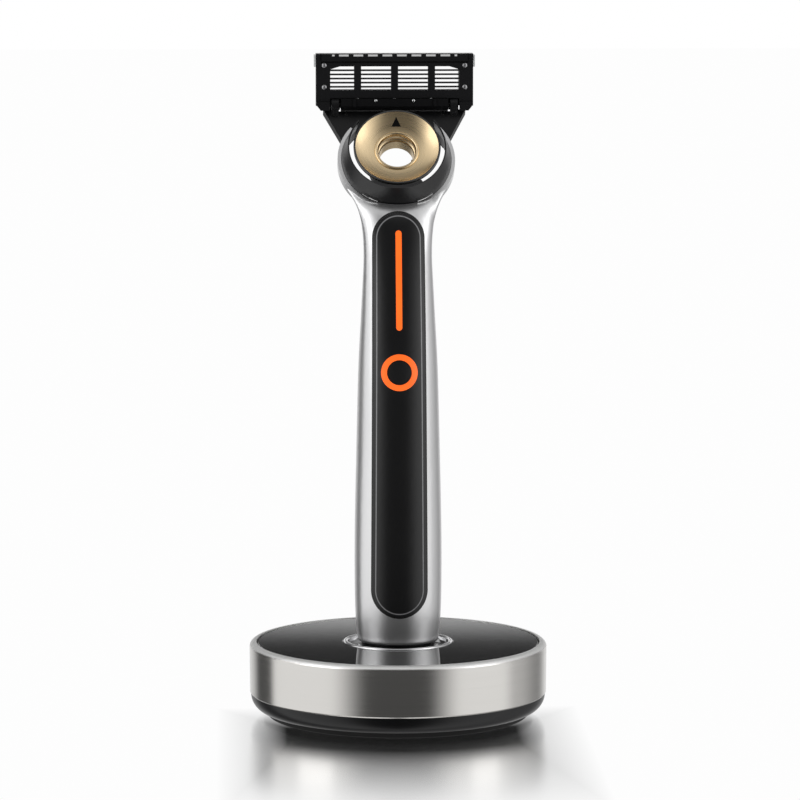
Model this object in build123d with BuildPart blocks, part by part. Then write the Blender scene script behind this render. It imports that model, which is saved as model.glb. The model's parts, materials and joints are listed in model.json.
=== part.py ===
"""Heated cartridge razor standing in its charging dock.

Millimetres, +Z up. The origin is the centre of the dock's foot on the table.
The front of the razor, with its button, faces -Y and the blades face +Y.
"""
from build123d import *
import math
import os

os.makedirs("parts", exist_ok=True)

# ---------------------------------------------------------------- driving dimensions
# Dock
DOCK_R = 40.8                 # steel band, outside
BAND_BOTTOM = 6.4             # band stands on the base pan here
BAND_TOP = 19.3               # straight side ends, rim rounds over
RIM_TOP = 20.5
RIM_INNER_R = 38.9
FOOT_R = 35.4                 # rubber foot at the table
FOOT_INNER_R = 27.0
FOOT_H = 1.8
PAN_FLOOR = 2.0
COVER_TOP = 20.3
COVER_T = 2.0
SEAT_RING_R = 14.35           # chrome ring, middle of its width
SEAT_RING_W = 1.2
WELL_R = 10.3                 # well that takes the handle's end cap
WELL_FLOOR = 13.2
WELL_WALL = 1.2
DOCK_SCREW_R = 22.0           # radius of the circle of base screws
SOCKET_W = 9.0                # power inlet, rear
SOCKET_H = 3.2
SOCKET_Z = 11.0

# Handle
HANDLE_BOTTOM = 20.6
SHELL_WALL = 1.3
PANEL_T = 1.6
PANEL_BOTTOM = 28.8
PANEL_TOP = 138.3
PANEL_BOTTOM_W = 14.6
PANEL_TOP_W = 13.4
GASKET_W = 0.45
PANEL_PROUD = 0.12
STRIP_BOTTOM = 107.0
STRIP_TOP = 133.7
STRIP_W = 1.65
BUTTON_Z = 95.7
BUTTON_LEAN = 6.0             # degrees, lean of the front face at the button
BUTTON_R = 3.3
BUTTON_TRAVEL = 0.4
RING_INNER_R = 3.4
RING_OUTER_R = 5.0
CAP_BOTTOM = 13.5
CAP_RX = 9.9
CAP_RY = 9.3
BATTERY_R = 7.0
BATTERY_Y = 1.7
BATTERY_BOTTOM = 37.0
BATTERY_TOP = 87.0
BOARD_Y = -6.1                # middle of the handle's circuit board
BOARD_Z = 69.3
BOARD_H = 60.0

# Tilted disc in the head
DISC_Y = 6.0
DISC_Z = 155.9
DISC_TILT = 36.5              # degrees the disc faces upwards
DISH_R = 11.35
HUB_R = 11.9
HOLE_R = 4.7
COLLAR_TOP_R = 13.3
COLLAR_BASE_R = 15.1
COLLAR_DEPTH = 6.4
HEAD_R = 16.1
HEAD_BACK = 9.6
HEAD_OPENING = 50.0           # degrees to each side of the top, open for the yoke
YOKE_FRONT = 9.95
YOKE_T = 2.8

# Cartridge
PIVOT_Y = 24.0
PIVOT_Z = 166.1
CART_HALF_W = 21.7
CART_BACK = 23.4
CART_FRONT = 28.4
CART_TOP = 180.3
CHEEK_BOTTOM = PIVOT_Z - 0.15
WINDOW_BOTTOM = 170.35
WINDOW_TOP = 176.8
WINDOW_HALF_W = 17.75
WINDOW_TAPER = 0.8            # how far the outer windows' corners are cut
RIB_W = 1.95
RIB_PITCH = 10.2
EAR_R = 1.8
EAR_X = 15.4
EAR_T = 2.0
PIN_R = 0.8
CARRIER_HALF_W = 14.8
BLADE_COUNT = 5
BLADE_PITCH = 1.14
BLADE_T = 0.2

# ---------------------------------------------------------------- frames and shared forms
TILT_COS = math.cos(math.radians(DISC_TILT))
TILT_SIN = math.sin(math.radians(DISC_TILT))
DISC_CENTRE = (0, DISC_Y, DISC_Z)
DISC_AXIS = Axis(DISC_CENTRE, (0, TILT_COS, -TILT_SIN))
DISC_PROFILE = Plane(origin=DISC_CENTRE, x_dir=(1, 0, 0), z_dir=(0, TILT_SIN, TILT_COS))


def disc_point(rise, depth):
    """The (y, z) of a point in the head's middle plane, from the disc's centre."""
    y = DISC_Y + rise * TILT_SIN + depth * TILT_COS
    z = DISC_Z + rise * TILT_COS - depth * TILT_SIN
    return y, z


def disc_plane(depth):
    """A plane square to the disc's axis. Its Y runs up the disc and its normal faces out."""
    y, z = disc_point(0, depth)
    return Plane(origin=(0, y, z), x_dir=(1, 0, 0), z_dir=(0, -TILT_COS, TILT_SIN))


def station(front, back, width, fullness):
    """One cross-section of the handle: its front and back points in (y, z), and its width."""
    return {"front": front, "back": back, "width": width, "fullness": fullness}


HANDLE_STATIONS = [
    station((-10.6, HANDLE_BOTTOM), (10.0, HANDLE_BOTTOM), 21.9, 2.1),
    station((-11.25, 27.5), (10.5, 27.5), 23.3, 2.1),
    station((-11.7, 37.0), (10.8, 37.0), 23.8, 2.1),
    station((-11.85, 49.0), (10.9, 49.0), 23.8, 2.1),
    station((-11.8, 61.3), (10.9, 61.3), 23.4, 2.1),
    station((-11.5, 74.3), (10.8, 74.3), 22.8, 2.1),
    station((-10.95, 87.3), (10.4, 87.3), 22.2, 2.1),
    station((-9.9, 99.3), (9.7, 99.3), 21.4, 2.12),
    station((-8.3, 110.3), (8.8, 109.9), 20.2, 2.15),
    station((-6.3, 120.3), (7.8, 118.7), 19.2, 2.2),
    station((-4.3, 128.8), (6.9, 125.9), 18.6, 2.3),
    station((-2.1, 135.9), (6.2, 131.9), 19.3, 2.4),
    station(disc_point(-14.4, 5.8), disc_point(-14.4, HEAD_BACK), 22.2, 2.6),
    station(disc_point(-9.0, COLLAR_DEPTH), disc_point(-9.0, HEAD_BACK), 27.4, 2.8),
]
HOLLOW_STATIONS = 12          # the shell is hollow up to its waist
OVAL_POINTS = 20


def oval_point(half_width, half_depth, fullness, turn):
    """A point of a superellipse at an angle, in radians."""
    power = 2 / fullness
    across = math.copysign(abs(math.cos(turn)) ** power, math.cos(turn))
    deep = math.copysign(abs(math.sin(turn)) ** power, math.sin(turn))
    return half_width * across, half_depth * deep


def handle_form(inset, count):
    """The handle's outside form through its first stations, drawn in by an inset."""
    with BuildPart() as form:
        for place in HANDLE_STATIONS[:count]:
            (front_y, front_z), (back_y, back_z) = place["front"], place["back"]
            middle = (0, (front_y + back_y) / 2, (front_z + back_z) / 2)
            normal = (0, front_z - back_z, back_y - front_y)
            depth = math.hypot(back_y - front_y, back_z - front_z)
            turns = [2 * math.pi * (step + 0.5) / OVAL_POINTS for step in range(OVAL_POINTS)]
            ring = [
                oval_point(place["width"] / 2 - inset, depth / 2 - inset, place["fullness"], turn)
                for turn in turns
            ]
            with BuildSketch(Plane(origin=middle, x_dir=(1, 0, 0), z_dir=normal)):
                with BuildLine():
                    Spline(ring, periodic=True)
                make_face()
        loft()
    return form.part


def panel_outline(margin):
    """The front panel's long outline, cut right through from front to back."""
    low_r = PANEL_BOTTOM_W / 2
    high_r = PANEL_TOP_W / 2
    low_z = PANEL_BOTTOM + low_r
    high_z = PANEL_TOP - high_r
    with BuildPart() as outline:
        with BuildSketch(Plane.XZ):
            with BuildLine():
                Line((-low_r, low_z), (-high_r, high_z))
                ThreePointArc((-high_r, high_z), (0, PANEL_TOP), (high_r, high_z))
                Line((high_r, high_z), (low_r, low_z))
                ThreePointArc((low_r, low_z), (0, PANEL_BOTTOM), (-low_r, low_z))
            make_face()
            if margin:
                offset(amount=margin, kind=Kind.ARC)
        extrude(amount=20)
    return outline.part


def strip_outline(margin):
    """The light strip's slot, cut right through from front to back."""
    with BuildPart() as outline:
        with BuildSketch(Plane(origin=(0, 0, (STRIP_BOTTOM + STRIP_TOP) / 2), x_dir=(1, 0, 0),
                               z_dir=(0, -1, 0))):
            SlotOverall(STRIP_TOP - STRIP_BOTTOM + 2 * margin, STRIP_W + 2 * margin, rotation=90)
        extrude(amount=20)
    return outline.part


def disc_sector(inner_r, outer_r, middle, half_angle, front, back):
    """A block between two radii, centred on an angle, between two depths."""
    far = 2 * outer_r
    low = math.radians(middle - half_angle)
    high = math.radians(middle + half_angle)
    with BuildPart() as sector:
        with BuildSketch(disc_plane(front)):
            Circle(outer_r)
            Circle(inner_r, mode=Mode.SUBTRACT)
            with BuildLine():
                Polyline(
                    (0, 0), (far * math.cos(low), far * math.sin(low)),
                    (far * math.cos(high), far * math.sin(high)), close=True,
                )
            make_face(mode=Mode.INTERSECT)
        extrude(amount=front - back)
    return sector.part


outer_form = handle_form(0, len(HANDLE_STATIONS))
proud_form = handle_form(-PANEL_PROUD, len(HANDLE_STATIONS))
inner_form = handle_form(SHELL_WALL, HOLLOW_STATIONS)
panel_floor_form = handle_form(PANEL_T, HOLLOW_STATIONS)
front_band = proud_form - panel_floor_form
panel_hole = panel_outline(0)
gasket_hole = panel_outline(GASKET_W)
strip_hole = strip_outline(0)

head_opening = disc_sector(HUB_R, HEAD_R + 1, 90, HEAD_OPENING, -1, HEAD_BACK + 1)

button_front_y = -10.35       # front face of the handle at the button's height
BUTTON_PLANE = Plane(
    origin=(0, button_front_y, BUTTON_Z),
    x_dir=(1, 0, 0),
    z_dir=(0, -math.cos(math.radians(BUTTON_LEAN)), math.sin(math.radians(BUTTON_LEAN))),
)

# ================================================================ dock
with BuildPart() as dock_foot_ring:
    with BuildSketch(Plane.XZ):
        with BuildLine():
            Polyline(
                (FOOT_INNER_R, 0), (FOOT_R, 0), (FOOT_R + 1.6, FOOT_H), (FOOT_INNER_R, FOOT_H),
                close=True,
            )
        make_face()
    revolve(axis=Axis.Z)
    chamfer(dock_foot_ring.faces().sort_by(Axis.Z)[0].edges(), 0.4)

PAN_LIP_R = FOOT_R + 2.0
PAN_TOP_R = DOCK_R - 0.4
PAN_SPIGOT_R = RIM_INNER_R - 0.05
PAN_SPIGOT_INNER = RIM_INNER_R - 2.1
SPIGOT_TOP = COVER_TOP - COVER_T
floor_top = FOOT_H + PAN_FLOOR

with BuildPart() as dock_base_pan:
    with BuildSketch(Plane.XZ):
        with BuildLine():
            ThreePointArc((PAN_LIP_R, FOOT_H), (PAN_LIP_R + 2.0, FOOT_H + 1.45),
                          (PAN_TOP_R, BAND_BOTTOM))
            Polyline(
                (PAN_TOP_R, BAND_BOTTOM), (PAN_SPIGOT_R, BAND_BOTTOM), (PAN_SPIGOT_R, SPIGOT_TOP),
                (PAN_SPIGOT_INNER, SPIGOT_TOP), (PAN_SPIGOT_INNER, floor_top), (0, floor_top),
                (0, FOOT_H), (PAN_LIP_R, FOOT_H),
            )
        make_face()
    revolve(axis=Axis.Z)
    with BuildSketch(Plane.XY.offset(FOOT_H)):
        with PolarLocations(DOCK_SCREW_R, 4, start_angle=45):
            Circle(3.0)
    extrude(amount=1.0, mode=Mode.SUBTRACT)
    with BuildSketch(Plane.XY.offset(FOOT_H)):
        with PolarLocations(DOCK_SCREW_R, 4, start_angle=45):
            Circle(1.5)
    extrude(amount=PAN_FLOOR, mode=Mode.SUBTRACT)
    with BuildSketch(Plane.XZ.offset(-PAN_SPIGOT_INNER + 2)):
        with Locations((0, SOCKET_Z)):
            Rectangle(SOCKET_W + 1.0, SOCKET_H + 1.0)
    extrude(amount=-8, mode=Mode.SUBTRACT)

with BuildPart() as dock_steel_band:
    with BuildSketch(Plane.XZ):
        with BuildLine():
            Polyline(
                (RIM_INNER_R, RIM_TOP), (RIM_INNER_R, BAND_BOTTOM),
                (DOCK_R - 0.4, BAND_BOTTOM), (DOCK_R - 0.12, BAND_BOTTOM + 0.35),
                (DOCK_R, BAND_TOP),
            )
            ThreePointArc((DOCK_R, BAND_TOP), (DOCK_R - 0.5, RIM_TOP - 0.42),
                          (RIM_INNER_R + 0.25, RIM_TOP))
            Line((RIM_INNER_R + 0.25, RIM_TOP), (RIM_INNER_R, RIM_TOP))
        make_face()
    revolve(axis=Axis.Z)
    with BuildSketch(Plane.XZ.offset(-RIM_INNER_R + 2)):
        with Locations((0, SOCKET_Z)):
            SlotOverall(SOCKET_W, SOCKET_H)
    extrude(amount=-6, mode=Mode.SUBTRACT)

BOSS_R = 2.6
BALLAST_TOP = 7.6
with BuildPart() as dock_top_cover:
    with BuildSketch(Plane.XY.offset(SPIGOT_TOP)):
        Circle(RIM_INNER_R - 0.3)
        Circle(SEAT_RING_R + SEAT_RING_W / 2 + 0.05, mode=Mode.SUBTRACT)
    extrude(amount=COVER_T)
    chamfer(dock_top_cover.faces().sort_by(Axis.Z)[-1].edges(), 0.25)
    with BuildSketch(Plane.XY.offset(BALLAST_TOP + 0.3)):
        with PolarLocations(DOCK_SCREW_R, 4, start_angle=45):
            Circle(BOSS_R)
            Circle(1.1, mode=Mode.SUBTRACT)
    extrude(amount=SPIGOT_TOP - BALLAST_TOP - 0.3)

with BuildPart() as dock_seat_ring:
    with BuildSketch(Plane.XZ):
        with Locations((SEAT_RING_R, SPIGOT_TOP + 1.2)):
            RectangleRounded(SEAT_RING_W, 2.4, 0.45)
    revolve(axis=Axis.Z)

FLANGE_R = SEAT_RING_R - SEAT_RING_W / 2 - 0.05
FLANGE_TOP = SPIGOT_TOP + 1.1
with BuildPart() as dock_well_cup:
    with BuildSketch(Plane.XZ):
        with BuildLine():
            Polyline(
                (0, WELL_FLOOR - WELL_WALL), (WELL_R + WELL_WALL, WELL_FLOOR - WELL_WALL),
                (WELL_R + WELL_WALL, SPIGOT_TOP + 0.1), (FLANGE_R, SPIGOT_TOP + 0.1),
                (FLANGE_R, FLANGE_TOP), (WELL_R + 0.6, FLANGE_TOP - 0.3), (WELL_R, SPIGOT_TOP),
                (WELL_R, WELL_FLOOR), (0, WELL_FLOOR),
                close=True,
            )
        make_face()
    revolve(axis=Axis.Z)

with BuildPart() as dock_ballast_plate:
    with BuildSketch(Plane.XY.offset(floor_top)):
        Circle(PAN_SPIGOT_INNER - 0.6)
        Circle(9.0, mode=Mode.SUBTRACT)
        with PolarLocations(DOCK_SCREW_R, 4, start_angle=45):
            Circle(1.8, mode=Mode.SUBTRACT)
    extrude(amount=BALLAST_TOP - floor_top)

COIL_TOP = WELL_FLOOR - WELL_WALL
with BuildPart() as dock_coil_core:
    with BuildSketch(Plane.XY.offset(COIL_TOP - 2.8)):
        Circle(9.8)
    extrude(amount=1.2)
    with BuildSketch(Plane.XY.offset(COIL_TOP - 1.6)):
        Circle(2.6)
    extrude(amount=1.5)

COIL_TURNS = 6
COIL_PITCH = 1.0
with BuildPart() as dock_charge_coil:
    with BuildSketch(Plane.XZ):
        for turn in range(COIL_TURNS):
            with Locations((3.6 + turn * COIL_PITCH, COIL_TOP - 0.85)):
                RectangleRounded(0.9, 1.4, 0.3)
    revolve(axis=Axis.Z)

with BuildPart() as dock_seat_magnets:
    with BuildSketch(Plane.XY.offset(WELL_FLOOR - 0.6)):
        with PolarLocations(WELL_R + WELL_WALL + 1.7, 4):
            Circle(1.5)
    extrude(amount=3.0)

DOCK_BOARD_Z = 8.4
DOCK_BOARD_T = 1.0
DOCK_BOARD_Y = 25.0
with BuildPart() as dock_circuit_board:
    with BuildSketch(Plane.XY.offset(DOCK_BOARD_Z)):
        with Locations((0, DOCK_BOARD_Y)):
            RectangleRounded(23.0, 15.4, 1.5)
        with Locations((-9.4, DOCK_BOARD_Y), (9.4, DOCK_BOARD_Y)):
            Circle(1.0, mode=Mode.SUBTRACT)
    extrude(amount=DOCK_BOARD_T)

with BuildPart() as dock_board_chips:
    with BuildSketch(Plane.XY.offset(DOCK_BOARD_Z + DOCK_BOARD_T)):
        with Locations((0, 22.5)):
            Rectangle(5.0, 5.0)
        with Locations((-6.5, 21.0), (6.5, 21.0)):
            Rectangle(3.0, 2.0)
        with Locations((-6.8, 29.0), (6.8, 29.0)):
            Circle(1.8)
    extrude(amount=1.6)

SOCKET_BACK = 30.6
with BuildPart() as dock_power_socket:
    with BuildSketch(Plane.XZ.offset(-SOCKET_BACK)):
        with Locations((0, SOCKET_Z)):
            SlotOverall(SOCKET_W - 0.2, SOCKET_H - 0.2)
    extrude(amount=-(DOCK_R - 0.6 - SOCKET_BACK))
    with BuildSketch(Plane.XZ.offset(-SOCKET_BACK - 1.2)):
        with Locations((0, SOCKET_Z)):
            SlotOverall(SOCKET_W - 0.9, SOCKET_H - 0.9)
    extrude(amount=-10, mode=Mode.SUBTRACT)

with BuildPart() as dock_socket_contacts:
    with BuildSketch(Plane.XZ.offset(-SOCKET_BACK - 1.2)):
        with Locations((0, SOCKET_Z)):
            Rectangle(6.4, 0.7)
    extrude(amount=-6.0)

with BuildPart() as dock_base_screws:
    with BuildSketch(Plane.XY.offset(FOOT_H + 0.15)):
        with PolarLocations(DOCK_SCREW_R, 4, start_angle=45):
            Circle(2.7)
            RegularPolygon(1.2, 6, mode=Mode.SUBTRACT)
    extrude(amount=0.85)
    with BuildSketch(Plane.XY.offset(FOOT_H + 1.0)):
        with PolarLocations(DOCK_SCREW_R, 4, start_angle=45):
            Circle(1.05)
    extrude(amount=11.0)

# ================================================================ handle
RING_BORE_R = COLLAR_BASE_R + 0.05
BOTTOM_ROUND = 0.95
with BuildPart() as handle_shell:
    add(outer_form)
    with BuildSketch(disc_plane(COLLAR_DEPTH)):
        Circle(HEAD_R)
    extrude(amount=COLLAR_DEPTH - HEAD_BACK)
    with BuildSketch(disc_plane(-6)):
        Circle(RING_BORE_R)
    extrude(amount=-24, mode=Mode.SUBTRACT)
    add(head_opening, mode=Mode.SUBTRACT)
    fillet(handle_shell.edges().group_by(Axis.Z)[0], BOTTOM_ROUND)
    add(inner_form, mode=Mode.SUBTRACT)
    add(front_band & gasket_hole, mode=Mode.SUBTRACT)

with BuildPart() as front_panel:
    add(front_band & panel_hole)
    add(strip_hole, mode=Mode.SUBTRACT)
    with BuildSketch(BUTTON_PLANE.offset(3)):
        Circle(RING_OUTER_R)
    extrude(amount=-8, mode=Mode.SUBTRACT)

with BuildPart() as panel_gasket:
    add(front_band & gasket_hole)
    add(panel_hole, mode=Mode.SUBTRACT)
    add(outer_form, mode=Mode.INTERSECT)

with BuildPart() as light_strip:
    add(front_band & strip_hole)

with BuildPart() as button_light_ring:
    with BuildSketch(BUTTON_PLANE.offset(3)):
        Circle(RING_OUTER_R - 0.03)
        Circle(RING_INNER_R, mode=Mode.SUBTRACT)
    extrude(amount=-8)
    add(front_band, mode=Mode.INTERSECT)

BUTTON_DEPTH = 2.4
with BuildPart() as power_button:
    with BuildSketch(BUTTON_PLANE.offset(3)):
        Circle(BUTTON_R)
    extrude(amount=-3 - BUTTON_DEPTH)
    add(handle_form(0.05, len(HANDLE_STATIONS)), mode=Mode.INTERSECT)

with BuildPart() as button_switch:
    with BuildSketch(Plane.XZ.offset(-BOARD_Y + 0.5)):
        with Locations((0, BUTTON_Z)):
            Rectangle(4.0, 4.0)
    extrude(amount=0.5)
    with BuildSketch(Plane.XZ.offset(-BOARD_Y + 1.0)):
        with Locations((0, BUTTON_Z)):
            Circle(1.0)
    extrude(amount=0.15)

with BuildPart() as control_board:
    with BuildSketch(Plane.XZ.offset(-BOARD_Y - 0.5)):
        with Locations((0, BOARD_Z)):
            RectangleRounded(9.0, BOARD_H, 1.0)
    extrude(amount=1.0)

with BuildPart() as board_components:
    with BuildSketch(Plane.XZ.offset(-BOARD_Y + 0.5)):
        with Locations((0, BOARD_Z - 18.0), (0, BOARD_Z + 4.0)):
            Rectangle(5.0, 5.0)
        with Locations((0, BOARD_Z - 8.0), (0, BOARD_Z + 12.0)):
            with GridLocations(6.0, 1, 2, 1):
                Rectangle(2.0, 3.0)
    extrude(amount=1.0)

LED_COUNT = 5
LED_PITCH = 5.6
strip_mid = (STRIP_BOTTOM + STRIP_TOP) / 2
STRIP_LEAN = 12.5             # degrees, lean of the front face along the light strip
LED_PLANE = Plane(
    origin=(0, -3.2, strip_mid),
    x_dir=(1, 0, 0),
    z_dir=(0, -math.cos(math.radians(STRIP_LEAN)), math.sin(math.radians(STRIP_LEAN))),
)
with BuildPart() as led_board:
    with BuildSketch(LED_PLANE):
        Rectangle(4.0, 27.0)
    extrude(amount=-0.8)

with BuildPart() as indicator_leds:
    with BuildSketch(LED_PLANE):
        with GridLocations(1, LED_PITCH, 1, LED_COUNT):
            Rectangle(1.4, 1.8)
    extrude(amount=0.7)

with BuildPart() as battery_cell:
    with BuildSketch(Plane((0, BATTERY_Y, BATTERY_BOTTOM))):
        Circle(BATTERY_R)
    extrude(amount=BATTERY_TOP - BATTERY_BOTTOM)
    fillet(battery_cell.edges().filter_by(GeomType.CIRCLE), 0.5)
    with BuildSketch(Plane((0, BATTERY_Y, BATTERY_TOP))):
        Circle(2.4)
    extrude(amount=0.8)

with BuildPart() as battery_tabs:
    for height in (BATTERY_BOTTOM - 0.3, BATTERY_TOP + 0.8):
        with BuildSketch(Plane((0, BATTERY_Y, height))):
            Circle(4.6)
        extrude(amount=0.25)

RAIL_X = 7.9
CHASSIS_BOTTOM = 29.0
with BuildPart() as inner_chassis:
    with BuildSketch(Plane.XY.offset(CHASSIS_BOTTOM)):
        with Locations((0, BATTERY_Y)):
            Ellipse(9.3, 7.0)
            Circle(2.0, mode=Mode.SUBTRACT)
    extrude(amount=3.0)
    with BuildSketch(Plane.XY.offset(BATTERY_TOP + 2.4)):
        with Locations((0, BATTERY_Y - 0.9)):
            Ellipse(8.6, 6.1)
            Circle(2.0, mode=Mode.SUBTRACT)
    extrude(amount=3.0)
    for side in (-1, 1):
        with BuildSketch(Plane((side * RAIL_X, BATTERY_Y - 0.9, CHASSIS_BOTTOM))):
            Rectangle(1.2, 4.4)
        extrude(amount=BATTERY_TOP + 2.4 - CHASSIS_BOTTOM)

CAP_TOP = 24.6
with BuildPart() as end_cap:
    with BuildSketch(Plane.XY.offset(CAP_BOTTOM)):
        Ellipse(CAP_RX, CAP_RY)
    extrude(amount=HANDLE_BOTTOM - CAP_BOTTOM)
    fillet(end_cap.faces().sort_by(Axis.Z)[0].edges(), 0.8)
    with BuildSketch(Plane.XY.offset(HANDLE_BOTTOM)):
        Ellipse(8.7, 7.6)
    extrude(amount=CAP_TOP - HANDLE_BOTTOM)
    with BuildSketch(Plane.XY.offset(CAP_BOTTOM + 1.0)):
        Ellipse(CAP_RX - 1.3, CAP_RY - 1.3)
    extrude(amount=HANDLE_BOTTOM - 1.0 - CAP_BOTTOM - 1.0, mode=Mode.SUBTRACT)
    with BuildSketch(Plane.XY.offset(HANDLE_BOTTOM - 1.2)):
        Circle(5.6)
    extrude(amount=8, mode=Mode.SUBTRACT)

with BuildPart() as end_cap_seal:
    with BuildSketch(Plane.XY.offset(HANDLE_BOTTOM + 1.2)):
        Ellipse(9.1, 8.0)
        Ellipse(8.72, 7.62, mode=Mode.SUBTRACT)
    extrude(amount=1.0)

with BuildPart() as handle_charge_coil:
    with BuildSketch(Plane.XZ):
        for turn in range(COIL_TURNS - 1):
            with Locations((3.0 + turn * COIL_PITCH, CAP_BOTTOM + 1.8)):
                RectangleRounded(0.9, 1.2, 0.3)
    revolve(axis=Axis.Z)

with BuildPart() as handle_coil_core:
    with BuildSketch(Plane.XY.offset(CAP_BOTTOM + 2.5)):
        Circle(7.8)
    extrude(amount=1.0)

with BuildPart() as docking_plate:
    with BuildSketch(Plane.XY.offset(CAP_BOTTOM + 3.6)):
        Circle(7.6)
        Circle(4.0, mode=Mode.SUBTRACT)
    extrude(amount=1.0)

with BuildPart() as chassis_screws:
    for side in (-1, 1):
        with BuildSketch(Plane((side * 5.4, BATTERY_Y, CHASSIS_BOTTOM - 1.0))):
            Circle(1.3)
        extrude(amount=0.95)

# Collar round the tilted disc
BRIDGE_HALF_ANGLE = 31.5
BRIDGE_R = HUB_R + 0.3
COLLAR_INNER_BACK = 14.3
with BuildPart() as neck_collar:
    with BuildSketch(DISC_PROFILE):
        with BuildLine():
            Polyline(
                (COLLAR_TOP_R - 0.25, 0.25), (COLLAR_TOP_R - 0.1, 0), (COLLAR_TOP_R + 0.15, 0),
                (COLLAR_BASE_R, COLLAR_DEPTH), (COLLAR_BASE_R, HEAD_BACK),
                (COLLAR_INNER_BACK, HEAD_BACK), (COLLAR_INNER_BACK, COLLAR_DEPTH),
                close=True,
            )
        make_face()
    revolve(axis=DISC_AXIS)
    add(head_opening, mode=Mode.SUBTRACT)
DOWN = 270.0
with BuildPart() as collar_bridge:
    add(disc_sector(BRIDGE_R, COLLAR_BASE_R, DOWN, BRIDGE_HALF_ANGLE, 0.5, HEAD_BACK))
    add(neck_collar.part, mode=Mode.SUBTRACT)
    with BuildSketch(disc_plane(-1)):
        Circle(COLLAR_TOP_R)
    extrude(amount=-8, mode=Mode.INTERSECT)

TRIM_HALF_ANGLE = 9.0
with BuildPart() as collar_trim:
    for side in (-1, 1):
        add(disc_sector(14.4, 15.25, DOWN + side * 30.0, TRIM_HALF_ANGLE, 5.25, 5.7))
    add(neck_collar.part, mode=Mode.SUBTRACT)

with BuildPart() as collar_magnets:
    with BuildSketch(disc_plane(HEAD_BACK - 0.2)):
        with Locations((-6.2, -19.5), (6.2, -19.5)):
            Circle(1.2)
    extrude(amount=1.6)

# ================================================================ tilted disc and yoke
with BuildPart() as gold_dish:
    with BuildSketch(DISC_PROFILE):
        with BuildLine():
            ThreePointArc((DISH_R, 0.1), (8.9, 1.45), (6.1, 2.2))
            ThreePointArc((6.1, 2.2), (5.65, 1.8), (5.2, 2.2))
            Polyline(
                (5.2, 2.2), (5.0, 2.7), (5.0, 3.6), (5.3, 3.75), (5.3, 4.3), (4.9, 4.5),
                (HOLE_R, 5.0), (HOLE_R, 8.3), (5.8, 8.3), (5.8, 3.0), (6.8, 2.7), (9.2, 1.9),
                (DISH_R, 0.75), (DISH_R, 0.1),
            )
        make_face()
    revolve(axis=DISC_AXIS)

MARK_RISE = 8.9
MARK_HALF_W = 1.3
MARK_H = 2.6
with BuildPart() as mark_prism:
    with BuildSketch(disc_plane(-1)):
        with BuildLine():
            Polyline(
                (-MARK_HALF_W, MARK_RISE - MARK_H / 2), (MARK_HALF_W, MARK_RISE - MARK_H / 2),
                (0, MARK_RISE + MARK_H / 2), close=True,
            )
        make_face()
    extrude(amount=-3.7)
with BuildPart() as direction_mark:
    add(gold_dish.part)
    add(mark_prism.part, mode=Mode.INTERSECT)
with BuildPart() as gold_dish_cut:
    add(gold_dish.part)
    add(mark_prism.part, mode=Mode.SUBTRACT)
gold_dish = gold_dish_cut

HUB_BACK_R = 7.4
with BuildPart() as disc_hub:
    with BuildSketch(DISC_PROFILE):
        with BuildLine():
            Polyline(
                (DISH_R + 0.03, 0), (HUB_R - 0.15, 0), (HUB_R, 0.15), (HUB_R, 0.9),
                (9.6, 2.6), (HUB_BACK_R, 3.8), (HUB_BACK_R, YOKE_FRONT),
                (5.83, YOKE_FRONT), (5.83, 3.05), (6.8, 2.75), (9.2, 1.95),
                (DISH_R + 0.03, 0.8), close=True,
            )
        make_face()
    revolve(axis=DISC_AXIS)
    with BuildSketch(disc_plane(YOKE_FRONT)):
        with PolarLocations(6.6, 3, start_angle=90):
            Circle(0.6, mode=Mode.ADD)
    extrude(amount=1.8, mode=Mode.SUBTRACT)

with BuildPart() as hub_magnets:
    with BuildSketch(disc_plane(YOKE_FRONT)):
        with PolarLocations(6.6, 3, start_angle=90):
            Circle(0.58)
    extrude(amount=1.7)

YOKE_TOP = 17.9
YOKE_ARCH_R = 15.2
SHOULDER_TOP = 18.5
SHOULDER_INNER = 16.5
LEG_X = 6.4
LEG_W = 2.2
with BuildPart() as rear_yoke:
    with BuildSketch(disc_plane(YOKE_FRONT)):
        with BuildLine():
            Polyline(
                (-14.4, 7.6), (14.4, 7.6), (19.2, YOKE_TOP - 0.4), (19.7, SHOULDER_TOP),
                (SHOULDER_INNER, SHOULDER_TOP), (SHOULDER_INNER, YOKE_TOP),
                (-SHOULDER_INNER, YOKE_TOP), (-SHOULDER_INNER, SHOULDER_TOP),
                (-19.7, SHOULDER_TOP), (-19.2, YOKE_TOP - 0.4), close=True,
            )
        make_face()
        Circle(YOKE_ARCH_R, mode=Mode.SUBTRACT)
        with Locations((-LEG_X, 7.5), (LEG_X, 7.5)):
            Rectangle(LEG_W, 15.0)
        Circle(HUB_BACK_R)
        Circle(HOLE_R, mode=Mode.SUBTRACT)
        with Locations((0, 8)):
            Rectangle(2 * HOLE_R, 12, mode=Mode.SUBTRACT)
    extrude(amount=-YOKE_T)
    for side in (-1, 1):
        with BuildSketch(Plane.YZ.offset(side * (EAR_X + EAR_T / 2))):
            foot_y, foot_z = disc_point(YOKE_TOP - 1.5, YOKE_FRONT + YOKE_T / 2)
            with BuildLine():
                Polyline(
                    (PIVOT_Y - EAR_R, PIVOT_Z), (PIVOT_Y + EAR_R, PIVOT_Z),
                    (foot_y + 1.2, foot_z + 0.4), (foot_y - 0.8, foot_z), close=True,
                )
            make_face()
            with Locations((PIVOT_Y, PIVOT_Z)):
                Circle(EAR_R)
                Circle(PIN_R + 0.05, mode=Mode.SUBTRACT)
        extrude(amount=EAR_T / 2, both=True)

with BuildPart() as yoke_rivets:
    with BuildSketch(disc_plane(YOKE_FRONT - 0.25)):
        with Locations((-13.3, YOKE_TOP - 0.8), (13.3, YOKE_TOP - 0.8)):
            Circle(0.45)
    extrude(amount=-0.25)

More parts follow.
